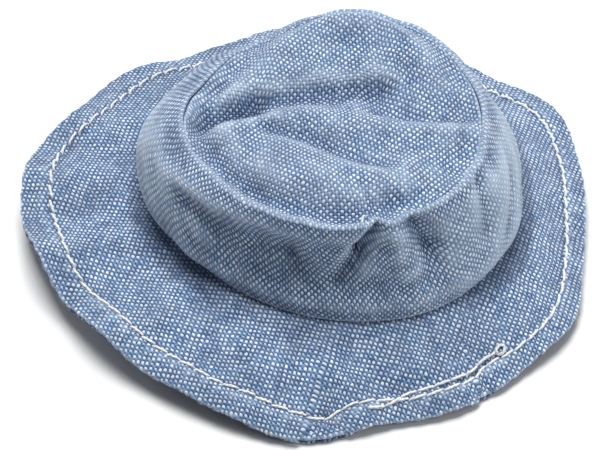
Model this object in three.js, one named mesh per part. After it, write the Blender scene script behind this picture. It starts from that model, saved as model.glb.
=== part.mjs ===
// A bucket hat for a small doll or toy bear, sewn from chambray and lying on its brim.
//
// Frame: millimetres, +Z up, the front of the hat towards -Y. The origin is on the
// surface that the hat lies on, under the middle of its box.
//
// The hat's shape is held by three rings: the edge of the brim, the seam where the
// brim meets the crown, and the seam round the tip of the crown. Each cloth panel is
// a thin closed solid stretched between two of them.

import * as THREE from 'three';

// ---- driving dimensions ----

const STEPS_AROUND = 48;
const CLOTH = 0.3; // one layer of chambray
const INTERLINING = 0.15; // the stiffener between the brim's two layers
const LAYER_GAP = 0.06; // air between two cloths that lie together
const THREAD = 0.32; // sewing thread, across
const THREAD_SIDES = 6;
const THREAD_GAP = 0.1; // air between a thread and the cloth that it lies on
const BRIM_WIDTH = 17.9; // along the cloth, seam to edge
const TOPSTITCH_INSET = 3.6; // from the brim's edge to the row of topstitching
const PRESSED_RIM = 1.4; // the outermost strip of the brim, which lies level
const SEAM_ALLOWANCE = 2.6; // cloth turned in at a seam
const BACKTACK_SHIFT = 1.0; // between the two rows where the stitching overlaps

// Each ring is given every 30 degrees, from +X towards the back of the hat (+Y).
const BRIM_EDGE = {
  centre: [0, 0],
  radius: [38.4, 40.9, 39.4, 39.0, 36.6, 37.0, 39.0, 36.6, 36.5, 39.4, 39.3, 40.3],
  height: [1.2, 1.4, 0.6, -0.15, 0.8, 3.0, 4.0, 4.0, 2.6, 0.0, 0.0, 1.0],
};
const BRIM_SEAM = {
  centre: [4.5, 0.3],
  radius: [23.0, 23.0, 23.4, 23.6, 23.4, 23.2, 23.4, 23.0, 23.2, 24.2, 25.3, 24.6],
  height: [6.0, 6.0, 6.3, 6.5, 6.5, 6.3, 6.0, 5.8, 5.8, 5.8, 5.8, 6.0],
};
const TIP_SEAM = {
  centre: [4.0, -0.5],
  radius: [20.8, 20.5, 20.5, 19.8, 18.6, 19.2, 20.9, 19.5, 19.2, 19.8, 20.3, 21.5],
  height: [21.5, 21.6, 22.0, 22.2, 21.5, 21.0, 21.0, 20.6, 20.6, 20.6, 20.6, 21.0],
};

// How steeply the brim leaves the crown and reaches its edge, in degrees below level.
const BRIM_SLOPE_AT_SEAM = [35, 30, 25, 20, 15, 15, 20, 20, 20, 20, 22, 30];
const BRIM_SLOPE_AT_EDGE = [15, 12, 15, 15, 10, 5, 5, 8, 22, 30, 28, 20];

// The side band swells outwards, most of all at the sides, where it hangs over the brim,
// and has a small roll all round just above the brim.
const BAND_SWELL = [2.9, 2.2, 1.2, 1.0, 1.4, 3.0, 4.4, 2.9, 0.2, 0.0, 0.5, 2.2];
const BAND_ROLL = { across: 0.82, spread: 0.12, size: 0.6 };

// The soft crown has sunk into folds. Each runs along a line over the tip.
const TIP_FOLDS = [
  { from: [-11, 6], to: [12, 10], spread: 4.5, rise: 1.2 }, // hump across the back
  { from: [-14, 1], to: [12, 5.5], spread: 2.6, rise: -2.0 }, // valley in front of it
  { from: [-8, 0], to: [14, -8], spread: 2.2, rise: -1.2 }, // slanting furrow
  { from: [-10, -12], to: [16, -13], spread: 3.5, rise: 0.8 }, // shoulder at the front
];
const TIP_CROWN = 1.0; // how far the tip swells above its seam
const TIP_RIM = 0.96; // beyond this the tip lies level on the top of the band

const CHAMBRAY = { color: 0x8296b2, roughness: 0.95, metalness: 0 };
const STIFFENER = { color: 0xf0f0ec, roughness: 0.9, metalness: 0 };
const SEWING_THREAD = { color: 0xf3f4f4, roughness: 0.7, metalness: 0 };

// ---- rings and surfaces ----

const radians = THREE.MathUtils.degToRad;

// A smooth closed curve through values given at equal steps round the hat.
function around(values, angle) {
  const count = values.length;
  const turns = angle / (2 * Math.PI);
  const place = (turns - Math.floor(turns)) * count;
  const index = Math.floor(place);
  const u = place - index;
  const [a, b, c, d] = [-1, 0, 1, 2].map((k) => values[(index + k + count) % count]);
  return b + 0.5 * u * (c - a + u * (2 * a - 5 * b + 4 * c - d + u * (3 * (b - c) + d - a)));
}

function ringPoint(ring, angle) {
  const radius = around(ring.radius, angle);
  return new THREE.Vector3(
    ring.centre[0] + radius * Math.cos(angle),
    ring.centre[1] + radius * Math.sin(angle),
    Math.max(0, around(ring.height, angle)),
  );
}

// A point on the underside of the brim: across is 0 at the crown and 1 at the edge.
function brimPoint(angle, across) {
  const seam = ringPoint(BRIM_SEAM, angle);
  const edge = ringPoint(BRIM_EDGE, angle);
  const outward = new THREE.Vector3(edge.x - seam.x, edge.y - seam.y, 0).normalize();
  const rim = edge.clone().addScaledVector(outward, -PRESSED_RIM);
  const rimAcross = 1 - PRESSED_RIM / BRIM_WIDTH;
  if (across > rimAcross) {
    return rim.lerp(edge, (across - rimAcross) / (1 - rimAcross));
  }
  const down = (degrees) => outward.clone()
    .multiplyScalar(Math.cos(radians(degrees)))
    .setZ(-Math.sin(radians(degrees)));
  const third = (BRIM_WIDTH - PRESSED_RIM) / 3;
  const curve = new THREE.CubicBezierCurve3(
    seam,
    seam.clone().addScaledVector(down(around(BRIM_SLOPE_AT_SEAM, angle)), third),
    rim.clone().addScaledVector(down(around(BRIM_SLOPE_AT_EDGE, angle)), -third),
    rim,
  );
  return curve.getPoint(across / rimAcross);
}

// A point on the middle of the side band: down is 0 at the tip and 1 at the brim.
function bandPoint(angle, down) {
  const top = ringPoint(TIP_SEAM, angle);
  const bottom = ringPoint(BRIM_SEAM, angle);
  bottom.z += BRIM_STACK + LAYER_GAP;
  const roll = Math.exp(-(((down - BAND_ROLL.across) / BAND_ROLL.spread) ** 2));
  const swell = around(BAND_SWELL, angle) * Math.sin(Math.PI * down) + BAND_ROLL.size * roll;
  return top.lerp(bottom, down).add(outwards(angle, swell));
}

function outwards(angle, distance) {
  return new THREE.Vector3(distance * Math.cos(angle), distance * Math.sin(angle), 0);
}

// A point on the underside of the tip: out is 0 at its middle and 1 at its seam.
function tipPoint(angle, out) {
  const seam = ringPoint(TIP_SEAM, angle).add(outwards(angle, CLOTH / 2));
  const point = new THREE.Vector3(...TIP_SEAM.centre, seam.z).lerp(seam, out);
  const free = Math.max(0, 1 - (out / TIP_RIM) ** 4);
  point.z += LAYER_GAP + TIP_CROWN * free;
  for (const fold of TIP_FOLDS) {
    const near = distanceToLine(point, fold.from, fold.to) / fold.spread;
    point.z += fold.rise * free * Math.exp(-near * near);
  }
  return point;
}

function distanceToLine(point, from, to) {
  const start = new THREE.Vector3(...from, 0);
  const line = new THREE.Line3(start, new THREE.Vector3(...to, 0));
  const flat = new THREE.Vector3(point.x, point.y, 0);
  return line.closestPointToPoint(flat, true, new THREE.Vector3()).distanceTo(flat);
}

// ---- closed solids ----

function closedGeometry(points, triangles) {
  const geometry = new THREE.BufferGeometry().setFromPoints(points);
  geometry.setIndex(triangles);
  geometry.computeVertexNormals();
  return geometry;
}

// A cloth ring: outer(angle, row) and inner(angle, row) are its two faces, and rows
// run from one rim to the other. With the outer face outside, its rows run downhill
// or outwards.
function clothRing(rows, outer, inner) {
  const points = [];
  const triangles = [];
  for (const face of [outer, inner]) {
    for (const row of rows) {
      for (let step = 0; step < STEPS_AROUND; step += 1) {
        points.push(face((2 * Math.PI * step) / STEPS_AROUND, row));
      }
    }
  }
  const at = (face, row, step) => (face * rows.length + row) * STEPS_AROUND + (step % STEPS_AROUND);
  const quad = (a, b, c, d) => triangles.push(a, b, c, a, c, d);
  const last = rows.length - 1;
  for (let step = 0; step < STEPS_AROUND; step += 1) {
    for (let row = 0; row < last; row += 1) {
      quad(at(0, row, step), at(0, row + 1, step), at(0, row + 1, step + 1), at(0, row, step + 1));
      quad(at(1, row, step), at(1, row, step + 1), at(1, row + 1, step + 1), at(1, row + 1, step));
    }
    quad(at(0, 0, step), at(0, 0, step + 1), at(1, 0, step + 1), at(1, 0, step));
    quad(at(0, last, step), at(1, last, step), at(1, last, step + 1), at(0, last, step + 1));
  }
  return closedGeometry(points, triangles);
}

// A round cloth: surface(angle, row) is its underside, and each row is a ring.
function clothDisc(rows, surface, thickness) {
  const middle = surface(0, 0);
  const points = [middle.clone().setZ(middle.z + thickness), middle];
  const triangles = [];
  for (const lift of [thickness, 0]) {
    for (const row of rows) {
      for (let step = 0; step < STEPS_AROUND; step += 1) {
        const point = surface((2 * Math.PI * step) / STEPS_AROUND, row);
        points.push(point.setZ(point.z + lift));
      }
    }
  }
  const at = (face, row, step) => 2
    + (face * rows.length + row) * STEPS_AROUND + (step % STEPS_AROUND);
  const quad = (a, b, c, d) => triangles.push(a, b, c, a, c, d);
  const last = rows.length - 1;
  for (let step = 0; step < STEPS_AROUND; step += 1) {
    triangles.push(0, at(0, 0, step), at(0, 0, step + 1));
    triangles.push(1, at(1, 0, step + 1), at(1, 0, step));
    for (let row = 0; row < last; row += 1) {
      quad(at(0, row, step), at(0, row + 1, step), at(0, row + 1, step + 1), at(0, row, step + 1));
      quad(at(1, row, step), at(1, row, step + 1), at(1, row + 1, step + 1), at(1, row + 1, step));
    }
    quad(at(0, last, step), at(1, last, step), at(1, last, step + 1), at(0, last, step + 1));
  }
  return closedGeometry(points, triangles);
}

// A thread along a route of points, either a closed loop or with two cut ends.
function threadAlong(route, isLoop) {
  const points = [];
  const triangles = [];
  const count = route.length;
  const before = (i) => route[isLoop ? (i + count - 1) % count : Math.max(i - 1, 0)];
  const after = (i) => route[isLoop ? (i + 1) % count : Math.min(i + 1, count - 1)];
  route.forEach((centre, i) => {
    const along = after(i).clone().sub(before(i)).normalize();
    const guide = Math.abs(along.z) > 0.8 ? new THREE.Vector3(0, 1, 0) : new THREE.Vector3(0, 0, 1);
    const side = new THREE.Vector3().crossVectors(along, guide).normalize();
    const top = new THREE.Vector3().crossVectors(side, along);
    for (let k = 0; k < THREAD_SIDES; k += 1) {
      const turn = (2 * Math.PI * k) / THREAD_SIDES;
      points.push(centre.clone()
        .addScaledVector(side, (THREAD / 2) * Math.cos(turn))
        .addScaledVector(top, (THREAD / 2) * Math.sin(turn)));
    }
  });
  const at = (i, k) => (i % count) * THREAD_SIDES + (k % THREAD_SIDES);
  const sections = isLoop ? count : count - 1;
  for (let i = 0; i < sections; i += 1) {
    for (let k = 0; k < THREAD_SIDES; k += 1) {
      triangles.push(at(i, k), at(i + 1, k + 1), at(i, k + 1));
      triangles.push(at(i, k), at(i + 1, k), at(i + 1, k + 1));
    }
  }
  if (!isLoop) {
    for (let k = 1; k < THREAD_SIDES - 1; k += 1) {
      triangles.push(at(0, 0), at(0, k), at(0, k + 1));
      triangles.push(at(count - 1, 0), at(count - 1, k + 1), at(count - 1, k));
    }
  }
  return closedGeometry(points, triangles);
}

// ---- the brim ----

const BRIM_STACK = 2 * CLOTH + INTERLINING + 2 * LAYER_GAP;
const TOPSTITCH_ACROSS = 1 - TOPSTITCH_INSET / BRIM_WIDTH;
const RIM_ACROSS = 1 - PRESSED_RIM / BRIM_WIDTH;
const BACKTACK_ACROSS = TOPSTITCH_ACROSS - BACKTACK_SHIFT / BRIM_WIDTH;
const BRIM_ROWS = [0, 0.27, 0.54, BACKTACK_ACROSS, TOPSTITCH_ACROSS, RIM_ACROSS, 1];

function brimLayer(rows, lift, thickness) {
  const raised = (distance) => (angle, across) => {
    const point = brimPoint(angle, across);
    return point.setZ(point.z + distance);
  };
  return clothRing(rows, raised(lift + thickness), raised(lift));
}

function brimUnder() {
  return brimLayer(BRIM_ROWS, 0, CLOTH);
}

function brimInterlining() {
  return brimLayer(BRIM_ROWS.slice(0, -1), CLOTH + LAYER_GAP, INTERLINING);
}

function brimUpper() {
  return brimLayer(BRIM_ROWS, CLOTH + INTERLINING + 2 * LAYER_GAP, CLOTH);
}

// The direction square to the brim's cloth, on its upper side.
function brimNormal(angle, across) {
  const small = 0.02;
  const alongCloth = brimPoint(angle, across + small).sub(brimPoint(angle, across - small));
  const roundHat = brimPoint(angle + small, across).sub(brimPoint(angle - small, across));
  return alongCloth.cross(roundHat).normalize();
}

// The topstitching goes once round the brim, then overlaps its own start in a second
// row, a little nearer to the crown. It lies a distance off the cloth whose face is
// lifted above the brim's underside.
function topstitchRoute(lift, distance) {
  const startStep = 39;
  const turnStep = startStep - 1 + STEPS_AROUND;
  const endStep = turnStep + 3;
  const route = [];
  for (let step = startStep; step <= endStep; step += 1) {
    const across = step > turnStep ? BACKTACK_ACROSS : TOPSTITCH_ACROSS;
    const angle = (2 * Math.PI * step) / STEPS_AROUND;
    const point = brimPoint(angle, across).addScaledVector(brimNormal(angle, across), distance);
    route.push(point.setZ(point.z + lift));
  }
  return route;
}

function topstitchNeedleThread() {
  return threadAlong(topstitchRoute(BRIM_STACK, THREAD_GAP + THREAD / 2), false);
}

function topstitchBobbinThread() {
  return threadAlong(topstitchRoute(0, -THREAD_GAP - THREAD / 2), false);
}

// ---- the crown ----

// Where the two seam threads run, as a share of the way down the band.
const TIP_SEAM_DOWN = 0.1;
const BRIM_SEAM_DOWN = 0.9;

// The band is one strip. Its cloth is doubled where it is turned in at each seam.
function crownSideBand() {
  const length = bandPoint(0, 0).distanceTo(bandPoint(0, 1));
  const doubled = SEAM_ALLOWANCE / length;
  const raw = 0.03; // the step down at the cut edge of each turning
  const rows = [0, doubled, doubled + raw, 0.5, 1 - doubled - raw, 1 - doubled, BRIM_SEAM_DOWN, 1];
  const inward = (down) => {
    const isDoubled = down <= doubled || down >= 1 - doubled;
    return isDoubled ? -1.5 * CLOTH : -0.5 * CLOTH;
  };
  return clothRing(
    rows,
    (angle, down) => bandPoint(angle, down).add(outwards(angle, CLOTH / 2)),
    (angle, down) => bandPoint(angle, down).add(outwards(angle, inward(down))),
  );
}

function crownTip() {
  return clothDisc([0.15, 0.3, 0.45, 0.6, 0.75, 0.87, TIP_RIM, 1], tipPoint, CLOTH);
}

// A seam's thread runs on the cloth that is turned in, inside the crown.
function seamThread(down) {
  const inset = 1.5 * CLOTH + THREAD_GAP + THREAD / 2;
  const route = [];
  for (let step = 0; step < STEPS_AROUND; step += 1) {
    const angle = (2 * Math.PI * step) / STEPS_AROUND;
    route.push(bandPoint(angle, down).add(outwards(angle, -inset)));
  }
  return threadAlong(route, true);
}

// The band's two ends are joined by a seam at the back of the crown.
function bandEndSeamThread() {
  const angle = (2 * Math.PI * 13) / STEPS_AROUND;
  const inset = CLOTH / 2 + THREAD_GAP + THREAD / 2;
  const route = [0.3, 0.4, 0.5, 0.6, 0.7]
    .map((down) => bandPoint(angle, down).add(outwards(angle, -inset)));
  return threadAlong(route, false);
}

// ---- assembly ----

const pieces = {
  crown_tip: [crownTip(), CHAMBRAY],
  crown_side_band: [crownSideBand(), CHAMBRAY],
  brim_upper: [brimUpper(), CHAMBRAY],
  brim_interlining: [brimInterlining(), STIFFENER],
  brim_under: [brimUnder(), CHAMBRAY],
  topstitch_needle_thread: [topstitchNeedleThread(), SEWING_THREAD],
  topstitch_bobbin_thread: [topstitchBobbinThread(), SEWING_THREAD],
  tip_seam_thread: [seamThread(TIP_SEAM_DOWN), SEWING_THREAD],
  brim_seam_thread: [seamThread(BRIM_SEAM_DOWN), SEWING_THREAD],
  band_end_seam_thread: [bandEndSeamThread(), SEWING_THREAD],
};

const hat = new THREE.Group();
for (const [name, [geometry, finish]] of Object.entries(pieces)) {
  const mesh = new THREE.Mesh(geometry, new THREE.MeshStandardMaterial(finish));
  mesh.name = name;
  hat.add(mesh);
}

const box = new THREE.Box3().setFromObject(hat);
const middle = box.getCenter(new THREE.Vector3());
hat.position.set(-middle.x, -middle.y, -box.min.z);

export default hat;
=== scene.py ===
# A doll's chambray bucket hat, lying on its brim with the crown sunk into folds.
#
# Lengths are millimetres until a mesh is made, then metres. The hat's shape is held by
# three rings: the brim's edge, the seam under the crown and the seam round the tip.
# Every cloth panel is a sheet between them, with its turnings, thickened into a closed
# mesh. Its UV map holds the flat cloth's own millimetres, so the weave runs as it was cut.

import math

import bpy
import numpy as np
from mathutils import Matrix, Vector


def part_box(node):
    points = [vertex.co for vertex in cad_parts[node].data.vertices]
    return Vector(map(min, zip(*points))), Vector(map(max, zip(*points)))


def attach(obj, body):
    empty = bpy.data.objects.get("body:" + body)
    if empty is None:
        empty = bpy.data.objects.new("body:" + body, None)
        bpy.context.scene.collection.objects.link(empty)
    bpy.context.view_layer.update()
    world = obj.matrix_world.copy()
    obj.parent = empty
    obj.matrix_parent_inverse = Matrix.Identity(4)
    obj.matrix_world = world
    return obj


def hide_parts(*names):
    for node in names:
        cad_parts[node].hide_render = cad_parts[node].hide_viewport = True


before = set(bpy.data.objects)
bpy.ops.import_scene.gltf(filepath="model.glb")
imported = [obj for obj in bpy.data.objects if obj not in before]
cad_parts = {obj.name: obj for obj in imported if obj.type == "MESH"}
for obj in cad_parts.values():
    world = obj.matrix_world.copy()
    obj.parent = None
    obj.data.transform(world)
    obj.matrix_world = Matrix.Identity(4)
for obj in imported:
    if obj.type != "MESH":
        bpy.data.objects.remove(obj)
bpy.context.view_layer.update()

MM = 0.001
TAU = 2 * math.pi

# ---- the hat's sizes, mm ----

CLOTH = 0.28
HALF = CLOTH / 2
INTERLINING_THICKNESS = 0.14
BRIM_WIDTH = 17.9
BRIM_FOLD_AT = BRIM_WIDTH - 0.16  # where the brim's cloths turn back at the edge
TOPSTITCH_INSET = 3.6
STITCHES_ROUND = 98
THREAD = 0.42
THREAD_TWIST = 3.4
ALLOWANCE = 2.6
CROWN_RADIUS = 23
BAND_HEIGHT = 16.6
BACK_SEAM = 97.5  # its direction, in degrees
TIP_RADIUS = 20
TIP_LEVEL = 20.3
TIP_TURNS_AT = 0.76
TIP_TURNING = 0.60

# Heights of the middle of each cloth above the underside of the brim.
UNDER = HALF
INTERLINING = 0.40
UPPER = 0.62
HEM_UNDER_TURNING = 0.46
HEM_UPPER_TURNING = 0.78
HEM_UPPER = 1.10
BAND_FOOT = 0.93

# Each ring is given at equal steps, from +X towards the back of the hat (+Y). The radii
# of the brim's edge were mostly fitted by a program.
BRIM_EDGE = {
    "centre": (0, 0),
    "radius": [38.2, 39.5, 40.9, 38.1, 38.6, 40.7, 39.2, 38.2, 36.4, 38.1, 37.6, 39.2,
               39.2, 38.1, 36.9, 36.5, 36.4, 37.7, 39.4, 37.8, 39.3, 39.4, 40.3, 38.5],
    "height": [1.2, 1.4, 0.6, 0, 0.8, 3.0, 4.0, 4.0, 2.6, 0.0, 0.0, 1.0],
}
BRIM_SEAM = {
    "centre": (4.5, 0.3),
    "radius": [23.0, 23.0, 23.4, 23.6, 23.4, 23.2, 23.4, 23.0, 23.2, 24.2, 25.3, 24.6],
    "height": [6.0, 6.0, 6.3, 6.5, 6.5, 6.3, 6.0, 5.8, 5.8, 5.8, 5.8, 6.0],
}
TIP_SEAM = {
    "centre": (4.0, -0.5),
    "radius": [19.9, 20.0, 20.7, 20.4, 19.0, 19.4, 21.1, 19.6, 19.2, 19.8, 20.1, 20.6],
    "height": [21.4, 21.2, 21.8, 21.9, 20.9, 20.9, 21.0, 20.6, 20.6, 20.6, 20.6, 21.0],
}
BRIM_SLOPE_AT_SEAM = [16, 16, 16, 16, 12, 10, 8, 14, 20, 20, 20, 20]
BRIM_SLOPE_AT_EDGE = [15, 12, 15, 15, 10, 5, 5, 8, 22, 30, 28, 20]

# Ripples that run out over the brim: direction, half width in degrees, rise.
BRIM_RIPPLES = [
    (140, 5, -0.5), (152, 4, 0.6), (163, 4, -0.7), (173, 4, 0.9), (184, 4, -0.8),
    (196, 5, 1.0), (209, 5, -0.9), (223, 6, 0.6), (238, 6, -0.4), (254, 6, 0.5),
    (273, 4, -0.9), (283, 4, 0.6), (299, 4, 0.6), (306, 3, -0.8), (320, 6, 0.3),
    (340, 7, -0.4), (5, 6, 0.4), (22, 6, -0.5), (45, 7, 0.4), (70, 7, -0.4),
    (88, 6, 0.4), (108, 6, -0.4), (128, 5, 0.6),
]

# Where the topstitching strays from its row: direction, half width in degrees, distance.
STITCH_STRAYS = [(277, 4, -0.8), (289, 6, 0.6), (308, 5, -0.8), (322, 8, 0.8)]

# Folds of the tip: the line that each follows over the tip, its half widths to the left
# and to the right of the line, and its rise.
TIP_FOLDS = [
    # the hump, which ends in a step across the back
    ([(-21, -3.5), (-16, 0.2), (-11.6, 3.2), (-7, 4.2), (0, 5.3), (6.4, 6.4), (11, 7.0),
      (15, 7.4)], (9, 1.8), 1.5),
    # the valley at the step's foot, deeper at its left end, and its far end
    ([(-20, -3.6), (-16, -0.6), (-11.6, 1.7), (-7, 2.8), (0, 3.9), (6.4, 4.9), (13, 5.5)],
     (1.2, 2.0), -1.6),
    ([(-21, -4.4), (-17, -1.4), (-13.5, 0.7), (-9, 2.0), (-4, 3.0)], (1.6, 2.4), -1.9),
    ([(6, 2.2), (13, 0.6), (18, -0.3), (22, -0.2), (28, 0.9)], (3.4, 1.4), -1.5),
    # a low ridge across the middle
    ([(-16, -1.8), (0, 0), (12, -2.3), (18, -3.0), (23, -2.4), (28, -1.2)], (2.4, 2.4), 0.9),
    # the long furrow
    ([(-8, -1.0), (-5.5, -2), (0, -4), (4, -6.5), (7.5, -8.5), (11, -9.6), (13, -10)],
     (1.3, 1.2), -1.1),
    # the dent at the left rim, and the trough that goes on from it round the front
    ([(-15.5, -6), (-14, -7.5), (-10.5, -11), (-9, -12.5)], (1.6, 1.6), -1.6),
    ([(-11, -11.5), (-9, -12.5), (-2.5, -16), (3, -17.8), (8, -17.5), (14, -15)],
     (2.2, 2.0), -1.0),
    # the shoulder behind the trough, and a dent at the right
    ([(-9, -8), (3, -11.5), (16, -12)], (4, 4), 0.9),
    ([(18.5, -5), (20, -9), (20, -13)], (3, 3), -0.8),
]

# Round the tip every 30 degrees: how far its edge lies below the band's, how far the
# cloth sinks just inside its seam, and how far it stands up over the seam at the back.
TIP_SINK = [0.55, 0.25, 0.05, 0, 0, 0.2, 0.6, 0.62, 0.62, 0.62, 0.62, 0.6]
TIP_TROUGH = [0.5, 0.1, 0, 0, 0.1, 1.1, 2.0, 1.6, 1.3, 1.4, 0.8, 0.5]
TIP_ROLL = [0.1, 0.9, 3.0, 3.3, 1.5, 0.1, 0, 0, 0, 0, 0, 0]

# Folds of the side band. Each starts at (angle, share of the way down) and ends at
# another, and has a half width in degrees, a push outwards, and a lean: above 0, the
# side towards smaller angles is the steeper one.
BAND_FOLDS = [
    ((285, 0.0), (277, 0.3), 2.3, -3.7, 0.35),
    ((277, 0.3), (270, 0.6), 2.6, -1.2, 0.0),
    ((298.5, 0.02), (302.5, 0.4), 3.6, -2.5, 0.0),
    ((302.5, 0.4), (302, 0.85), 3.8, -1.3, 0.0),
    ((291, 0.0), (290, 0.5), 3.2, 1.1, 0.0),
    ((210, 0.33), (250, 0.48), 5.0, -1.2, 0.0),
    ((252, 0.5), (270, 0.6), 5.0, -0.5, 0.0),
    ((331, 0.0), (325, 0.5), 3.2, -1.4, 0.0),
    ((340, 0.05), (352, 0.05), 4.0, -0.9, 0.0),
    ((20, 0.3), (35, 0.7), 7.0, -0.9, 0.0),
    ((65, 0.1), (60, 0.7), 6.0, -0.8, 0.0),
    ((120, 0.1), (127, 0.6), 6.0, -0.9, 0.0),
    ((163, 0.4), (172, 0.7), 7.0, -0.4, 0.0),
]

# Round the band every 30 degrees: how far it swells at half its height, in a lip just
# under the tip, and in a roll above the brim.
BAND_SWELL = [2.5, 2.0, 1.2, 1.0, 1.6, 3.8, 5.0, 3.0, -0.3, -0.7, 0.3, 2.0]
BAND_LIP = [0, 0, 0, 0, 0, 0, 0.1, 0.8, 1.0, 0.6, 0.1, 0]
BAND_ROLL = [0.3, 0.3, 0.5, 0.5, 0.5, 0.3, 0.2, 0.5, 0.8, 0.9, 0.8, 0.6]

# Every 30 degrees: how far the band's upright yarns lean, across over down.
BAND_LEAN = [0.3, 0.3, 0.3, 0.3, 0, -0.4, -0.6, -0.5, -0.3, -0.15, 0, 0.1]

# Painted light and shade in the cloth, as steps of its wear value: the tip is painted
# paler, and so are the crown's two side rolls (direction, half width in degrees, step).
# The brim gets painted shade beside those rolls, as far out as the list says every 30 degrees.
TIP_PAINTED_LIGHT = 0.2
ROLLS_PAINTED_LIGHT = [(352, 46, 0.6), (178, 40, 0.42)]
BRIM_PAINTED_SHADE = 0.7
BRIM_PAINTED_SHADE_REACH = [3.4, 4.6, 5.0, 3.5, 3.5, 5.0, 3.8, 3.2, 2.6, 2.6, 2.6, 3.0]


# ---- shape helpers ----

def around(values, angle):
    """A smooth closed curve through values given at equal steps round the hat."""
    v = np.array(values, float)
    n = len(v)
    place = (np.asarray(angle, float) / TAU % 1.0) * n
    i = np.floor(place).astype(int) % n
    u = place - np.floor(place)
    a, b, c, d = v[(i - 1) % n], v[i], v[(i + 1) % n], v[(i + 2) % n]
    return b + 0.5 * u * (c - a + u * (2 * a - 5 * b + 4 * c - d + u * (3 * (b - c) + d - a)))


def turn_from(angle, degrees):
    """How far an angle is from a direction given in degrees, from -180 to 180."""
    return (np.degrees(angle) - degrees + 180) % 360 - 180


def bell(x):
    return np.exp(-x * x)


def smooth(x):
    """From 0 to 1 as x goes from 0 to 1, level at both ends."""
    x = np.clip(x, 0, 1)
    return x * x * (3 - 2 * x)


def unit(v):
    return v / np.maximum(np.linalg.norm(v, axis=-1, keepdims=True), 1e-12)


def outward(angle, distance):
    """A level step away from the middle of the hat."""
    angle, distance = np.broadcast_arrays(angle, distance)
    return np.stack([distance * np.cos(angle), distance * np.sin(angle), 0 * distance], -1)


def upward(distance):
    distance = np.asarray(distance, float)
    return np.stack([0 * distance, 0 * distance, distance], -1)


def ring(shape, angle):
    radius = around(shape["radius"], angle)
    height = np.maximum(around(shape["height"], angle), 0)
    x = shape["centre"][0] + radius * np.cos(angle)
    y = shape["centre"][1] + radius * np.sin(angle)
    return np.stack([x, y, height], -1)


def waves(x, y, length, seed, count=14):
    """Soft unevenness of about unit size, from level waves near one length."""
    rng = np.random.default_rng(seed)
    total = 0 * x
    for _ in range(count):
        way, phase = rng.uniform(0, TAU, 2)
        k = TAU / (length * rng.uniform(0.7, 1.5))
        total = total + np.sin(k * (x * math.cos(way) + y * math.sin(way)) + phase)
    return total / math.sqrt(count / 2)


def near_path(x, y, path, width):
    """1 on a line through a few points and 0 away from it, fading at its two ends.

    width holds the half width to the left of the line and the one to its right.
    """
    best = np.full(x.shape, 1e9)
    place, breadth = 0 * x, 0 * x + 1
    start = 0
    for (ax, ay), (bx, by) in zip(path, path[1:]):
        dx, dy = bx - ax, by - ay
        length = math.hypot(dx, dy)
        t = np.clip(((x - ax) * dx + (y - ay) * dy) / length ** 2, 0, 1)
        away = np.hypot(x - ax - t * dx, y - ay - t * dy)
        place = np.where(away < best, start + t * length, place)
        behind = dx * (y - ay) > dy * (x - ax)
        breadth = np.where(away < best, np.where(behind, *width), breadth)
        best = np.minimum(best, away)
        start += length
    fade = max(3.5, 0.7 * width[0])
    ends = smooth(place / fade) * smooth((start - place) / fade)
    return bell(best / breadth) * ends


# ---- the side band ----

def band_push(angle, down):
    """How far the folds move the band in or out: down is 0 at the tip, 1 at the brim."""
    degrees_per_height = 40.0
    total = 0 * angle + 0 * down
    for (a0, d0), (a1, d1), width, push, lean in BAND_FOLDS:
        x, y = turn_from(angle, a0), (down - d0) * degrees_per_height
        dx, dy = a1 - a0, (d1 - d0) * degrees_per_height
        t = np.clip((x * dx + y * dy) / (dx * dx + dy * dy), 0, 1)
        side = x - t * dx
        side = side / (1 - lean * (side < 0))
        away = np.hypot(side, y - t * dy) / (width * (1 + 0.5 * t))
        total = total + push * (1 - 0.4 * t) * bell(away)
    return total * (0.25 + 0.75 * smooth(down / 0.14)) * (1 - np.clip(down, 0, 1) ** 6)


def band_surface(angle, down, hanging=False):
    """The middle of the side band's thickness.

    hanging is for the turnings inside it, which don't swell out with the band.
    """
    s = np.clip(down, 0, 1)
    top, bottom = ring(TIP_SEAM, angle), ring(BRIM_SEAM, angle) + upward(BAND_FOOT)
    p = top + (bottom - top) * s[..., None]
    x, y = CROWN_RADIUS * np.cos(angle), CROWN_RADIUS * np.sin(angle)
    uneven = waves(x, y, 8.0, 7)
    p[..., 2] += 0.18 * uneven * (1 - s)
    swell = around(BAND_SWELL, angle) * (1 - np.abs(2 * s - 1) ** 3)
    swell = swell + around(BAND_LIP, angle) * bell((s - 0.12) / 0.1)
    swell = swell + around(BAND_ROLL, angle) * bell((s - 0.84) / 0.12)
    swell = swell + 0.14 * waves(x + 5 * s, y + 14 * s, 6.0, 11) * np.sin(math.pi * s)
    if hanging:
        swell = np.minimum(swell, 0)
    return p + outward(angle, swell + band_push(angle, s))


def inside_crown(angle, rho, z):
    """A point rho outwards of the band, z above the underside of the brim at its seam."""
    rise = ring(TIP_SEAM, angle)[..., 2] - ring(BRIM_SEAM, angle)[..., 2] - BAND_FOOT
    p = band_surface(angle, 1 - np.maximum(z - BAND_FOOT, 0) / rise, hanging=True)
    return p + outward(angle, rho) + upward(np.minimum(z - BAND_FOOT, 0))


# ---- the brim ----

def stitch_hole(angle):
    """1 at each needle hole of the brim's topstitching and -1 halfway between holes."""
    return np.cos(angle * STITCHES_ROUND)


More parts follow.
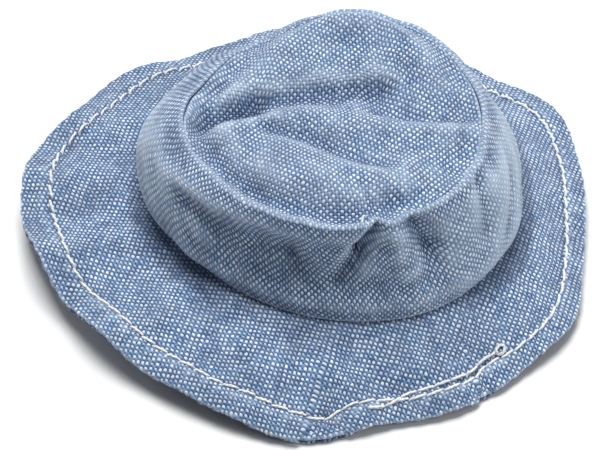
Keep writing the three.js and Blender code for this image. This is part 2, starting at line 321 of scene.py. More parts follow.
def brim_underside(angle, s):
    """The lowest face of the brim, s millimetres out from the seam under the crown."""
    seam, edge = ring(BRIM_SEAM, angle), ring(BRIM_EDGE, angle)
    out = edge - seam
    out[..., 2] = 0
    out = unit(out)

    def down(slopes):
        slope = np.radians(around(slopes, angle))
        return out * np.cos(slope)[..., None] - upward(np.sin(slope))

    t = (np.asarray(s, float) / BRIM_WIDTH)[..., None]
    a = seam + BRIM_WIDTH / 3 * down(BRIM_SLOPE_AT_SEAM)
    b = edge - BRIM_WIDTH / 3 * down(BRIM_SLOPE_AT_EDGE)
    p = (1 - t) ** 3 * seam + 3 * t * (1 - t) ** 2 * a + 3 * t * t * (1 - t) * b + t ** 3 * edge
    share = np.clip(t[..., 0], 0, 1)
    lift = 0
    for direction, width, rise in BRIM_RIPPLES:
        lift = lift + rise * bell(turn_from(angle, direction) / width)
    lift = lift * share ** 0.9
    lift = lift + 0.12 * waves(p[..., 0], p[..., 1], 9.0, 4) * np.clip(4 * share, 0, 1)
    p[..., 2] = np.maximum(p[..., 2] + lift, 0)
    hem = np.clip((s - BRIM_WIDTH + TOPSTITCH_INSET) / TOPSTITCH_INSET, 0, 1)
    return p + outward(angle, -0.07 * stitch_hole(angle) * hem ** 2)


def brim_point(angle, s, height):
    """A point in the brim's thickness, height millimetres above its underside."""
    along = np.maximum(s, 0)
    p = brim_underside(angle, along)
    down = brim_underside(angle, along + 0.1) - brim_underside(angle, along - 0.1)
    turn = brim_underside(angle + 0.004, along) - brim_underside(angle - 0.004, along)
    tilt = smooth(along / 1.5)[..., None]
    up = unit(unit(np.cross(down, turn)) * tilt + np.array([0, 0, 1.0]) * (1 - tilt))
    return p + outward(angle, np.minimum(s, 0)) + up * np.asarray(height, float)[..., None]


def hem_rise(s):
    """0 over the open brim and 1 over the turnings that lie inside its edge."""
    return smooth((s - (BRIM_WIDTH - ALLOWANCE - 1.9)) / 1.7)


def stitch_row(angle):
    """How far out from the crown the topstitching runs."""
    row = BRIM_WIDTH - TOPSTITCH_INSET + 0 * angle
    for middle, breadth, shift in STITCH_STRAYS:
        row = row + shift * bell(turn_from(angle, middle) / breadth)
    return row


def stitch_channel(angle, s):
    """How far the topstitching draws the cloth in, deepest at each needle hole."""
    from_row = s - stitch_row(angle)
    pull = 0.15 + 0.07 * stitch_hole(angle)
    return pull * bell(from_row / 0.55) - 0.05 * stitch_hole(angle) * bell((from_row - 1.5) / 1.2)


def upper_height(angle, s):
    return UPPER + (HEM_UPPER - UPPER) * hem_rise(s) - stitch_channel(angle, s)


# ---- the tip ----

def tip_surface(angle, out):
    """The middle of the tip's thickness: out is 0 at its middle, 1 where it turns down."""
    edge = band_surface(angle, 0 * angle) - outward(angle, TIP_TURNS_AT)
    middle = np.array([*TIP_SEAM["centre"], 0])
    push = band_push(angle, 0 * angle)
    o = np.asarray(out, float)
    p = middle + (edge - outward(angle, push) - middle) * o[..., None]
    p = p + outward(angle, push * o ** 5)
    p[..., 2] = TIP_LEVEL + (edge[..., 2] - TIP_LEVEL) * o ** 6
    inside_rim = (1 - o) * TIP_RADIUS
    p[..., 2] -= around(TIP_TROUGH, angle) * bell((inside_rim - 2.4) / 1.7)
    over = smooth(inside_rim / 3.5) * bell(np.maximum(inside_rim - 3.5, 0) / 6)
    p[..., 2] += np.maximum(around(TIP_ROLL, angle), 0) * over
    p[..., 2] -= around(TIP_SINK, angle) * smooth(o * 5 - 4)
    x, y = p[..., 0], p[..., 1]
    free = 1 - np.clip(o, 0, 1) ** 8
    rise = 0.5 * free + 0.14 * waves(x, y, 7.0, 21) * free
    for path, width, height in TIP_FOLDS:
        rise = rise + height * free * near_path(x, y, path, width)
    p[..., 2] += rise
    return p


# ---- making meshes ----

SHIFT = None


def place(points):
    """From the hat's own millimetres to the frame's metres, and no lower than the floor."""
    p = (np.asarray(points, float) + SHIFT) * MM
    p[..., 2] = np.maximum(p[..., 2], 0.00002)
    return p


def set_cloth_map(mesh, uv):
    """Stores each vertex's place on the flat cloth, in millimetres."""
    layer = mesh.uv_layers.new(name="cloth")
    index = np.empty(len(mesh.loops), np.int32)
    mesh.loops.foreach_get("vertex_index", index)
    layer.data.foreach_set("uv", uv[index].astype(np.float32).ravel())


def add_piece(name, vertices, faces, uv, material, slot, replaced, wear_and_painted_light=None):
    mesh = bpy.data.meshes.new(name)
    mesh.from_pydata(place(vertices).tolist(), [], faces)
    set_cloth_map(mesh, uv)
    # This per-vertex value holds real wear on ridges together with painted light and painted shade.
    if wear_and_painted_light is not None:
        mesh.attributes.new("wear_and_painted_light", "FLOAT", "POINT").data.foreach_set("value", wear_and_painted_light.astype(np.float32))
    mesh.polygons.foreach_set("use_smooth", np.ones(len(mesh.polygons), bool))
    mesh.materials.append(material)
    mesh.update()
    piece = bpy.data.objects.new(name, mesh)
    bpy.context.scene.collection.objects.link(piece)
    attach(piece, "root")
    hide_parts(*replaced)
    return piece


def grid_normals(points, closed):
    if closed:
        wide = np.concatenate([points[:, -1:], points, points[:, :1]], axis=1)
        return grid_normals(wide, False)[:, 1:-1]
    return unit(np.cross(np.gradient(points, axis=0), np.gradient(points, axis=1)))


def ridge_wear_and_painted_hollow_shade(points, closed, reach=3):
    """0 in hollows, which get painted shade, 0.5 on flat cloth and 1 on ridges, which rub and fade."""
    rows = np.arange(len(points))
    above = points[np.maximum(rows - reach, 0)]
    below = points[np.minimum(rows + reach, len(points) - 1)]
    cols = np.arange(points.shape[1])
    if closed:
        left, right = np.roll(points, reach, axis=1), np.roll(points, -reach, axis=1)
    else:
        left = points[:, np.maximum(cols - reach, 0)]
        right = points[:, np.minimum(cols + reach, cols[-1])]
    n = grid_normals(points, closed)

    def bulge(a, b):
        span = np.linalg.norm(a - b, axis=-1)
        return np.sum((points - (a + b) / 2) * n, -1) / np.maximum(span, 0.3)

    return np.clip(0.5 + 3.0 * (bulge(above, below) + bulge(left, right)), 0, 1)


def cloth_solid(points, uv, thickness, closed, centre=False):
    """Vertices, faces and UVs of a sheet given as rows of points on its middle.

    Rows run across the sheet and columns round the hat. closed joins the last column
    to the first. centre makes the first row one point.
    """
    rows, cols = points.shape[:2]
    n = grid_normals(points, closed)
    if centre:
        n[0] = unit(n[1].mean(axis=0))
    top, bottom = points + n * thickness / 2, points - n * thickness / 2
    vertices = np.concatenate([top.reshape(-1, 3), bottom.reshape(-1, 3)])
    flat = np.concatenate([uv.reshape(-1, 2)] * 2)
    index = np.arange(rows * cols).reshape(rows, cols)
    after = np.roll(index, -1, axis=1) if closed else index[:, 1:]
    here = index if closed else index[:, :-1]
    first = 1 if centre else 0

    def quads(a, b, c, d):
        return np.stack([a, b, c, d], -1).reshape(-1, 4)

    down = rows * cols
    parts = [
        quads(here[first:-1], here[first + 1:], after[first + 1:], after[first:-1]),
        quads(here[first:-1], after[first:-1], after[first + 1:], here[first + 1:]) + [down] * 4,
        quads(here[-1], here[-1] + down, after[-1] + down, after[-1]),
    ]
    if not centre:
        parts.append(quads(here[0], after[0], after[0] + down, here[0] + down))
    if not closed:
        a, b = index[:-1, 0], index[1:, 0]
        parts.append(quads(a, a + down, b + down, b))
        a, b = index[:-1, -1], index[1:, -1]
        parts.append(quads(a, b, b + down, a + down))
    faces = np.concatenate(parts).tolist()
    if centre:
        fan = np.stack([0 * here[1], here[1], after[1]], -1)
        faces += fan.tolist()
        faces += (np.stack([0 * here[1], after[1], here[1]], -1) + down).tolist()
    return vertices, faces, flat


def drop_unused(vertices, faces, *per_vertex):
    used = np.zeros(len(vertices), bool)
    for face in faces:
        used[face] = True
    new = (np.cumsum(used) - 1).tolist()
    return vertices[used], [[new[i] for i in face] for face in faces], *[v[used] for v in per_vertex]


def tube(centres, beside, radius, closed, sides=10, twist=0.0):
    """A two-ply thread along a line. beside is a direction square to it, roughly."""
    n = len(centres)
    if closed:
        tangent = np.roll(centres, -1, axis=0) - np.roll(centres, 1, axis=0)
    else:
        tangent = np.gradient(centres, axis=0)
    tangent = unit(tangent)
    side = unit(beside - tangent * np.sum(beside * tangent, -1, keepdims=True))
    over = np.cross(tangent, side)
    step = np.linalg.norm(np.roll(centres, -1, axis=0) - centres, axis=-1)
    along = np.concatenate([[0], np.cumsum(step)[:-1]])
    phi = np.arange(sides) * TAU / sides
    r = radius * (0.94 + 0.1 * np.cos(2 * (phi[None] - twist * along[:, None])))
    ringed = side[:, None] * np.cos(phi)[None, :, None] + over[:, None] * np.sin(phi)[None, :, None]
    vertices = (centres[:, None] + ringed * r[..., None]).reshape(-1, 3)
    index = np.arange(n * sides).reshape(n, sides)
    here, ahead = (index, np.roll(index, -1, axis=0)) if closed else (index[:-1], index[1:])
    faces = np.stack([here, np.roll(here, -1, axis=1), np.roll(ahead, -1, axis=1), ahead], -1)
    faces = faces.reshape(-1, 4).tolist()
    if not closed:
        faces += [index[0, ::-1].tolist(), index[-1].tolist()]
    uv = np.stack(np.broadcast_arrays(along[:, None], phi[None] / TAU), -1).reshape(-1, 2)
    return vertices, faces, uv


def joined(parts):
    """One set of vertices, faces and UVs from several."""
    vertices, faces, uv, start = [], [], [], 0
    for v, f, m in parts:
        vertices.append(v)
        uv.append(m)
        faces += [[i + start for i in face] for face in f]
        start += len(v)
    return np.concatenate(vertices), faces, np.concatenate(uv)


# ---- materials ----

class Graph:
    """Short names for building a material's nodes."""

    def __init__(self, name):
        self.material = bpy.data.materials.new(name)
        self.material.use_nodes = True
        self.nodes = self.material.node_tree.nodes
        self.links = self.material.node_tree.links
        self.shader = self.nodes["Principled BSDF"]
        # a thread or a cloth shines at grazing angles
        self.shader.inputs["Sheen Weight"].default_value = 0.25
        self.shader.inputs["Sheen Roughness"].default_value = 0.5
        self.shader.inputs["Specular IOR Level"].default_value = 0.25

    def put(self, socket, value):
        if isinstance(value, bpy.types.NodeSocket):
            self.links.new(value, socket)
        elif value is not None:
            socket.default_value = value

    def math(self, operation, a, b=None, c=None, clamp=False):
        node = self.nodes.new("ShaderNodeMath")
        node.operation = operation
        node.use_clamp = clamp
        for socket, value in zip(node.inputs, (a, b, c)):
            self.put(socket, value)
        return node.outputs[0]

    def ramp(self, value, low, high, at_low=0.0, at_high=1.0):
        node = self.nodes.new("ShaderNodeMapRange")
        node.interpolation_type = "SMOOTHSTEP"
        for socket, v in zip(node.inputs, (value, low, high, at_low, at_high)):
            self.put(socket, v)
        return node.outputs[0]

    def pair(self, x, y, z=0.0):
        node = self.nodes.new("ShaderNodeCombineXYZ")
        for socket, v in zip(node.inputs, (x, y, z)):
            self.put(socket, v)
        return node.outputs[0]

    def noise(self, vector, scale, detail=2.0, roughness=0.5):
        node = self.nodes.new("ShaderNodeTexNoise")
        self.put(node.inputs["Vector"], vector)
        node.inputs["Scale"].default_value = scale
        node.inputs["Detail"].default_value = detail
        node.inputs["Roughness"].default_value = roughness
        return node.outputs["Fac"]

    def mix(self, share, a, b, blend="MIX"):
        node = self.nodes.new("ShaderNodeMix")
        node.data_type = "RGBA"
        node.blend_type = blend
        self.put(node.inputs["Factor"], share)
        self.put(node.inputs[6], a)
        self.put(node.inputs[7], b)
        return node.outputs[2]

    def cloth_place(self):
        """The place on the flat cloth in millimetres, whole and as its two coordinates."""
        uv = self.nodes.new("ShaderNodeUVMap")
        uv.uv_map = "cloth"
        split = self.nodes.new("ShaderNodeSeparateXYZ")
        self.links.new(uv.outputs[0], split.inputs[0])
        return uv.outputs[0], split.outputs[0], split.outputs[1]

    def bump(self, height, distance, strength=1.0):
        node = self.nodes.new("ShaderNodeBump")
        node.inputs["Strength"].default_value = strength
        node.inputs["Distance"].default_value = distance
        self.put(node.inputs["Height"], height)
        self.links.new(node.outputs[0], self.shader.inputs["Normal"])


# Millimetres from yarn to yarn, and the colours of the yarns, linear; then painted shade
# for the gaps between yarns and for hollows, also used as the dark of random mottling,
# and the pale of worn cloth, also used as painted light.
WEFT_PITCH = 0.468
WARP_PITCH = 0.433
WARP_BLUE = (0.034, 0.126, 0.325, 1)
WARP_PALE = (0.105, 0.262, 0.535, 1)
WEFT_WHITE = (0.82, 0.89, 0.97, 1)
WEFT_GREY = (0.46, 0.59, 0.78, 1)
GAP_SHADE = (0.010, 0.030, 0.090, 1)
WORN_AND_PAINTED_LIGHT = (0.60, 0.74, 0.92, 1)


def chambray(name, grain, white_share=0.0):
    """Plain weave of a white weft over a blue warp. The weft is square to grain degrees."""
    g = Graph(name)
    place_uv, x, y = g.cloth_place()
    c, s = math.cos(math.radians(grain)), math.sin(math.radians(grain))
    # Each yarn wanders a little, in long waves and in short ones.
    long_x = g.math("SUBTRACT", g.noise(place_uv, 0.16, 1), 0.5)
    long_y = g.math("SUBTRACT", g.noise(g.pair(y, x, 5.0), 0.16, 1), 0.5)
    short = g.math("SUBTRACT", g.noise(g.pair(x, y, 9.0), 1.1, 2), 0.5)
    u = g.math("ADD", g.math("MULTIPLY", x, c), g.math("MULTIPLY", y, s))
    v = g.math("SUBTRACT", g.math("MULTIPLY", y, c), g.math("MULTIPLY", x, s))
    u = g.math("MULTIPLY_ADD", long_x, 1.0, g.math("MULTIPLY_ADD", short, 0.34, u))
    v = g.math("MULTIPLY_ADD", long_y, 1.0, g.math("MULTIPLY_ADD", short, 0.28, v))
    a, b = g.math("DIVIDE", u, WEFT_PITCH), g.math("DIVIDE", v, WARP_PITCH)
    weft_id, warp_id = g.math("FLOOR", a), g.math("FLOOR", b)

    # Shade and width that change along each yarn, differently for every yarn.
    slub = g.noise(g.pair(g.math("MULTIPLY", weft_id, 3.7), g.math("MULTIPLY", v, 0.5), 1.0), 1.0, 2)
    tone = g.noise(g.pair(g.math("MULTIPLY", u, 0.5), g.math("MULTIPLY", warp_id, 3.7), 2.0), 1.0, 2)

    sin_a = g.math("SINE", g.math("MULTIPLY", a, math.pi))
    sin_b = g.math("SINE", g.math("MULTIPLY", b, math.pi))

    def dome(place, width):
        """The round top of a yarn: 1 on its middle and 0 at its sides."""
        off = g.math("SUBTRACT", g.math("FRACT", place), 0.5)
        share = g.math("DIVIDE", off, width)
        square = g.math("SUBTRACT", 1.0, g.math("MULTIPLY", share, share), clamp=True)
        return g.math("SQRT", square)

    each = g.nodes.new("ShaderNodeTexWhiteNoise")
    each.noise_dimensions = "2D"
    g.put(each.inputs["Vector"], g.pair(weft_id, warp_id))
    fullness = g.math("MULTIPLY_ADD", each.outputs["Value"], 0.25, g.math("MULTIPLY", slub, 0.8))
    weft_top = dome(a, g.ramp(fullness, 0.3, 0.75, 0.27, 0.42))
    warp_top = dome(b, g.ramp(tone, 0.3, 0.7, 0.44, 0.51))
    weft_path = g.math("MULTIPLY", g.math("SIGN", sin_a), sin_b)
    warp_path = g.math("MULTIPLY", g.math("SIGN", sin_b), sin_a)
    weft = g.math("MULTIPLY_ADD", weft_path, 0.5, g.math("MULTIPLY", weft_top, 0.62))
    warp = g.math("MULTIPLY_ADD", warp_path, -0.5, g.math("MULTIPLY", warp_top, 0.55))
    over = g.math("ADD", g.math("SUBTRACT", weft, warp), white_share)
    height = g.math("MAXIMUM", weft, warp)

    bright = g.math("MULTIPLY_ADD", each.outputs["Value"], 0.45, g.math("MULTIPLY", slub, 0.8))
    white = g.mix(g.ramp(bright, 0.35, 0.80), WEFT_GREY, WEFT_WHITE)
    blue = g.mix(g.ramp(tone, 0.35, 0.68), WARP_BLUE, WARP_PALE)
    yarn = g.mix(g.ramp(over, -0.12, 0.12), blue, white)
    # painted shade in the gaps between yarns, darkest where the yarns lie low
    cloth = g.mix(g.ramp(height, 0.22, 0.86), GAP_SHADE, yarn)
    # Washed patches, darker mottling at random, wear and fibre fuzz, over the weave. The
    # wear value also carries painted light and painted shade.
    patch = g.noise(place_uv, 0.30, 3, 0.6)
    mottle = g.noise(g.pair(y, x, 7.0), 0.22, 3, 0.6)
    cloth = g.mix(g.ramp(mottle, 0.35, 0.7, 0.0, 0.32), cloth, GAP_SHADE)
    wear_and_painted_light = g.nodes.new("ShaderNodeAttribute")
    wear_and_painted_light.attribute_name = "wear_and_painted_light"
    fade_and_painted_light = g.math("MULTIPLY_ADD", g.ramp(patch, 0.25, 0.75), 0.10,
                   g.ramp(wear_and_painted_light.outputs["Fac"], 0.55, 1.45, 0.0, 0.60))
    # pale from washed patches and real wear on ridges, plus painted light on the tip and the crown's
    # side rolls
    cloth = g.mix(fade_and_painted_light, cloth, WORN_AND_PAINTED_LIGHT)
    # painted shade in hollows and on the brim beside the crown's side rolls
    cloth = g.mix(g.ramp(wear_and_painted_light.outputs["Fac"], 0.5, 0.0, 0.0, 0.45), cloth, GAP_SHADE)
    fibre = g.noise(g.pair(x, y, 3.0), 9.0, 3, 0.7)
    cloth = g.mix(0.35, cloth, g.mix(fibre, (0.35, 0.35, 0.35, 1), (1, 1, 1, 1)), "SOFT_LIGHT")
    g.put(g.shader.inputs["Base Color"], cloth)
    g.put(g.shader.inputs["Roughness"], g.ramp(over, -0.2, 0.2, 0.88, 0.78))
    g.bump(g.math("MULTIPLY_ADD", fibre, 0.15, height), 0.00014)
    return g.material


def sewing_thread():
    g = Graph("sewing_thread")
    along, turn = g.cloth_place()[1:]
    twist = g.math("ADD", g.math("MULTIPLY", along, 1.3), g.math("MULTIPLY", turn, 2.0))
    ply = g.math("SINE", g.math("MULTIPLY", twist, TAU))
    fibre = g.noise(g.pair(g.math("MULTIPLY", along, 3.0), g.math("MULTIPLY", turn, 6.0)), 2.0, 3)
    # painted shade in the grooves between the thread's two plies
    shade = g.mix(g.ramp(ply, -0.9, 0.3), (0.74, 0.77, 0.81, 1), (0.97, 0.97, 0.97, 1))
    colour = g.mix(g.ramp(fibre, 0.3, 0.7, 0.0, 0.3), shade, (0.88, 0.90, 0.92, 1))
    g.put(g.shader.inputs["Base Color"], colour)
    g.put(g.shader.inputs["Roughness"], g.ramp(fibre, 0.3, 0.7, 0.55, 0.75))
    g.bump(g.math("MULTIPLY_ADD", fibre, 0.4, ply), 0.00003)
    return g.material


def interlining_cloth():
    g = Graph("interlining")
    x, y = g.cloth_place()[1:]
    fibre = g.noise(g.pair(x, y), 2.2, 5, 0.75)
    g.put(g.shader.inputs["Base Color"], g.mix(fibre, (0.66, 0.67, 0.66, 1), (0.90, 0.90, 0.88, 1)))
    g.put(g.shader.inputs["Roughness"], g.ramp(fibre, 0.2, 0.8, 0.8, 0.95))
    g.bump(fibre, 0.00004)
    return g.material


# ---- building the hat ----

def arc(centre, radius, start, end, steps):
    """Points of a small turning of the cloth, in the plane across a seam."""
    turn = np.radians(np.linspace(start, end, steps))
    return [(centre[0] + radius * math.cos(t), centre[1] + radius * math.sin(t)) for t in turn]


def run_from(points, axis, start):
    """How far along the cloth each point of a grid is from one of its rows or columns."""
    steps = np.linalg.norm(np.diff(points, axis=axis), axis=-1)
    run = np.cumsum(steps, axis=axis)
    run = np.insert(run, 0, 0, axis=axis)
    return run - np.take(run, [start], axis=axis)


def evened(lengths, reach):
    """Each length's mean with those of its neighbours in the row, up to reach away."""
    last = lengths.shape[1] - 1
    columns = np.arange(last + 1)
    near = [lengths[:, np.clip(columns + step, 0, last)] for step in range(-reach, reach + 1)]
    return np.mean(near, axis=0)


def spread_flat(points, start):
    """A level map of a brim panel. The cloth is pulled straight out from its start row."""
    near_edge = len(points) - 12  # a row short of the turning, where the cloth still runs out
    way = points[near_edge, :, :2] - points[start, :, :2]
    return points[start, :, :2] + unit(way) * run_from(points, 0, start)[..., None]


BRIM_COLUMNS = 784
TIP_COLUMNS = 400
BAND_COLUMNS = 540


def brim_rows():
    """How far out from the crown each row of the open brim lies."""
    return np.concatenate([np.linspace(0, 11, 17)[:-1], np.linspace(11, BRIM_FOLD_AT, 24)])


def brim_sheet(name, inside, open_height, hem_path, replaced, material, thickness=CLOTH):
    """A brim panel: stands up inside the crown, runs out to the edge and turns back.

    inside is its path at the crown as (rho, z), from its raw edge; hem_path is its path
    at the edge as (s, height).
    """
    angle = np.linspace(0, TAU, BRIM_COLUMNS, endpoint=False)[None]
    rows = brim_rows()
    upright = [p for p in inside if p[1] > BAND_FOOT]
    level = [p for p in inside if p[1] <= BAND_FOOT]
    crown = [inside_crown(angle, rho, np.full_like(angle, z)) for rho, z in upright]
    near = [inside_crown(angle, rho, np.full_like(angle, z)) for rho, z in level]
    s = rows[:, None] + 0 * angle
    open_part = brim_point(angle + 0 * s, s, open_height(angle + 0 * s, s))
    edge = [brim_point(angle, 0 * angle + a, 0 * angle + h) for a, h in hem_path]
    points = np.concatenate([*crown, *near, open_part, *edge])
    uv = spread_flat(points, len(inside))
    solid = cloth_solid(points, uv, thickness, closed=True)
    wear_and_painted_light = ridge_wear_and_painted_hollow_shade(points, True)
    # painted shade: the brim is darker beside the crown's side rolls, where their shadow falls
    past_reach = np.maximum(s - around(BRIM_PAINTED_SHADE_REACH, angle), 0)
    painted_shade_under_roll = np.clip(around(BAND_SWELL, angle) / 2.5, 0, 1) * bell(past_reach / 1.3)
    wear_and_painted_light[len(inside):len(inside) + len(rows)] -= BRIM_PAINTED_SHADE * painted_shade_under_roll
    wear_and_painted_light = np.tile(wear_and_painted_light.ravel(), 2)
    return add_piece(name, *solid, material, "chambray", replaced, wear_and_painted_light)


def make_brim(material):
    edge = BRIM_FOLD_AT
    back = np.linspace(edge, BRIM_WIDTH - ALLOWANCE, 4)[1:]
    r = (HEM_UPPER - HEM_UPPER_TURNING) / 2
    upper_fold = arc((edge, HEM_UPPER - r), r, 75, -90, 7) + [(s, HEM_UPPER_TURNING) for s in back]
    under_fold = arc((edge, UNDER + r), r, -75, 90, 7) + [(s, HEM_UNDER_TURNING) for s in back]
    stand = [(-0.95, z) for z in np.linspace(3.1, UPPER + 0.3, 5)]
    bend = arc((-0.65, UPPER + 0.3), 0.3, 180, 270, 5)[1:]
    upper = brim_sheet("upper_brim_cloth", stand + bend + [(-0.3, UPPER)], upper_height, upper_fold,
                       ["brim_upper"], material)
    stand = [(-1.3, z) for z in np.linspace(2.9, UNDER + 0.3, 6)]
    bend = arc((-1.0, UNDER + 0.3), 0.3, 180, 270, 5)[1:]

    def under_height(angle, s):
        return UNDER + 0.5 * stitch_channel(angle, s) + 0 * angle

    under = brim_sheet("under_brim_cloth", stand + bend + [(-0.6, UNDER), (-0.3, UNDER)], under_height,
                       under_fold, ["brim_under"], material)


def make_interlining(material):
    angle = np.linspace(0, TAU, 240, endpoint=False)[None]
    s = np.linspace(0.2, BRIM_WIDTH - ALLOWANCE - 0.4, 24)[:, None] + 0 * angle
    points = brim_point(angle + 0 * s, s, INTERLINING + 0 * s)
    uv = spread_flat(points, 0)
    piece = add_piece("brim_stiffening", *cloth_solid(points, uv, INTERLINING_THICKNESS, closed=True),
                      material, "interlining", ["brim_interlining"])


def flattened(surface):
    """A plan of the tip with its folds pulled out flat, so that the weave isn't stretched."""
    step, reach = 0.5, 26
    side = np.arange(-reach, reach + step, step)
    x, y = np.meshgrid(side, side, indexing="ij")
    away = np.hypot(x, y)
    angle = np.arctan2(y, x)
    edge = np.hypot(*(surface[-1, :, :2] - np.array(TIP_SEAM["centre"])).T)
    limit = np.interp(angle % TAU, np.linspace(0, TAU, len(edge), endpoint=False), edge, period=TAU)
    z = tip_surface(angle, np.minimum(away / limit, 1))[..., 2]
    lean_x, lean_y = np.gradient(z, step)
    u = np.cumsum(np.sqrt(1 + lean_x ** 2), axis=0) * step
    v = np.cumsum(np.sqrt(1 + lean_y ** 2), axis=1) * step
    middle = len(side) // 2
    u, v = u - u[middle], v - v[:, middle:middle + 1]
    place_x = (surface[..., 0] - TIP_SEAM["centre"][0] + reach) / step
    place_y = (surface[..., 1] - TIP_SEAM["centre"][1] + reach) / step
    i, j = np.floor(place_x).astype(int), np.floor(place_y).astype(int)
    a, b = place_x - i, place_y - j

    def at(grid):
        low = grid[i, j] * (1 - b) + grid[i, j + 1] * b
        high = grid[i + 1, j] * (1 - b) + grid[i + 1, j + 1] * b
        return low * (1 - a) + high * a

    return np.stack([at(u), at(v)], -1)


def make_tip(material):
    angle = np.linspace(0, TAU, TIP_COLUMNS, endpoint=False)[None]
    out = np.concatenate([[0], np.linspace(0.012, 0.8, 60), np.linspace(0.81, 1, 26)])
    grid = out[:, None] + 0 * angle
    dome = tip_surface(angle + 0 * grid, grid)
    edge = dome[-1:]
    r = TIP_TURNS_AT - TIP_TURNING
    turns = np.radians([18, 36, 54, 72, 90])
    bend = [edge + outward(angle, r * math.sin(t)) - upward(0 * angle + r * (1 - math.cos(t)))
            for t in turns]
    depth = np.linspace(r, ALLOWANCE, 10)[1:]
    stand = [band_surface(angle, (d + around(TIP_SINK, angle)) / BAND_HEIGHT, hanging=True)
             - outward(angle, TIP_TURNING) for d in depth]
    points = np.concatenate([dome, *bend, *stand])
    flat = flattened(dome)
    extra = np.concatenate([turns * r, turns[-1] * r + depth - r])
    skirt = flat[-1:] + outward(angle, extra[:, None])[..., :2]
    uv = np.concatenate([flat, skirt])
    # the whole tip is painted paler, as painted light on its top
    wear_and_painted_light = np.tile(ridge_wear_and_painted_hollow_shade(points, True).ravel() + TIP_PAINTED_LIGHT, 2)
    solid = cloth_solid(points, uv, CLOTH, closed=True, centre=True)
    vertices, faces, flat_map, wear_and_painted_light = drop_unused(*solid, wear_and_painted_light)
    piece = add_piece("tip_cloth", vertices, faces, flat_map, material, "chambray", ["crown_tip"], wear_and_painted_light)


def band_paths():
    """The band's path across its width, as (down share, rho), and round the hat."""
    h = BAND_HEIGHT
    top = [(d, -0.3) for d in np.linspace(ALLOWANCE, 0.6, 6)]
    # The top stands up over the seam as a soft lip.
    top += [(0.46, -0.36), (0.33, -0.42), (0.19, -0.43), (0.07, -0.36), (0.0, -0.24)]
    top += [(0.0, -0.12), (0.05, -0.02), (0.17, 0.05), (0.31, 0.06), (0.47, 0.03)]
    side = [(d, 0.0) for d in np.linspace(0.65, h - 0.3, 54)]
    bottom = [(h - 0.3 + 0.3 * math.cos(t), -0.3 + 0.3 * math.sin(t))
              for t in np.radians([65, 35, 0, -35, -65])]
    bottom += [(d, -0.6) for d in np.linspace(h - 0.3, h - ALLOWANCE, 7)]
    return top + side + bottom


def make_band(material):
    path = band_paths()
    down = np.array([p[0] for p in path])[:, None]
    rho = np.array([p[1] for p in path])[:, None]
    # Round the hat: from one turned end at the back seam, all the way, to the other.
    r = 0.2
    seam = math.radians(BACK_SEAM)
    per_mm = 1 / 24.0  # radians in a millimetre round the seam
    fold = np.radians([-60, -20, 20, 60])
    turned = np.linspace(2.4, r, 8)
    start = [(seam + (d + 0.15) * per_mm, -2 * r) for d in turned]
    start += [(seam + (r + 0.15 - r * math.cos(t)) * per_mm, -r + r * math.sin(t)) for t in fold]
    body = np.linspace(seam + (r + 0.15) * per_mm, seam + TAU - (r + 0.15) * per_mm, BAND_COLUMNS)
    whole = start + [(a, 0.0) for a in body]
    whole += [(2 * seam + TAU - a, off) for a, off in reversed(start)]
    angle = np.array([p[0] for p in whole])[None]
    end_rho = np.array([p[1] for p in whole])[None]
    share = down / BAND_HEIGHT + 0 * angle
    points = band_surface(angle + 0 * share, share)
    hidden = rho < -0.25
    points = np.where(hidden[..., None], band_surface(angle + 0 * share, share, hanging=True), points)
    points = points + outward(angle, rho + end_rho)
    front = int(np.argmin(np.abs(angle[0] - math.radians(270))))
    along = run_from(points, 1, front).mean(axis=0, keepdims=True)
    deep = evened(-run_from(points, 0, 11), reach=22)
    uv = np.stack(np.broadcast_arrays(along - deep * around(BAND_LEAN, angle), deep), -1)
    solid = cloth_solid(points, uv, CLOTH, closed=False)
    # painted light: the crown's two side rolls are paler
    rolls = sum(step * bell(turn_from(angle, way) / breadth) for way, breadth, step in ROLLS_PAINTED_LIGHT)
    rolls = rolls * smooth(down / 3) * (rho > -0.1)
    wear_and_painted_light = np.tile((ridge_wear_and_painted_hollow_shade(points, False) + rolls).ravel(), 2)
    piece = add_piece("band_cloth", *solid, material, "chambray", ["crown_side_band"], wear_and_painted_light)


def hole_share(angle):
    """1 in each needle hole of the topstitching, falling fast to 0 between holes."""
    return (0.5 + 0.5 * stitch_hole(angle)) ** 9


def needle_height(angle, s, hole):
    """The height of the needle thread, which dips into each hole."""
    return upper_height(angle, s) + HALF + THREAD * 0.34 - 0.42 * hole


def brim_thread(line, beside, closed):
    return tube(line, beside, THREAD / 2, closed, twist=THREAD_TWIST)


def second_row(steps):
    """Where the sewing began and ended, a row that crosses the first and runs inside it."""
    angle = np.radians(np.linspace(281.5, 311.5, steps))
    step = 1.0 * (1 - 2 * smooth((np.degrees(angle) - 283) / 8))
    hole = hole_share(angle + 0.5 * TAU / STITCHES_ROUND)
    s = stitch_row(angle) + step * 1.08
    crossing = 0.22 * bell((np.degrees(angle) - 287) / 1.2)
    height = needle_height(angle, s, hole) + crossing
    return brim_thread(brim_point(angle, s, height), outward(angle, 1), False)


def curled_end():
    """The thread's end, curled into a loose ring."""
    radius, points = 0.78, 60
    middle = math.radians(312.8)
    turn = np.radians(np.linspace(200, 560, points))
    angle = middle + radius * np.cos(turn) / 36.0
    s = stitch_row(middle) - 1.25 + radius * np.sin(turn)
    height = upper_height(angle, s) + HALF + THREAD * 0.5 + 0.25 * np.linspace(0, 1, points)
    return brim_thread(brim_point(angle, s, height), upward(1 + 0 * turn), False)


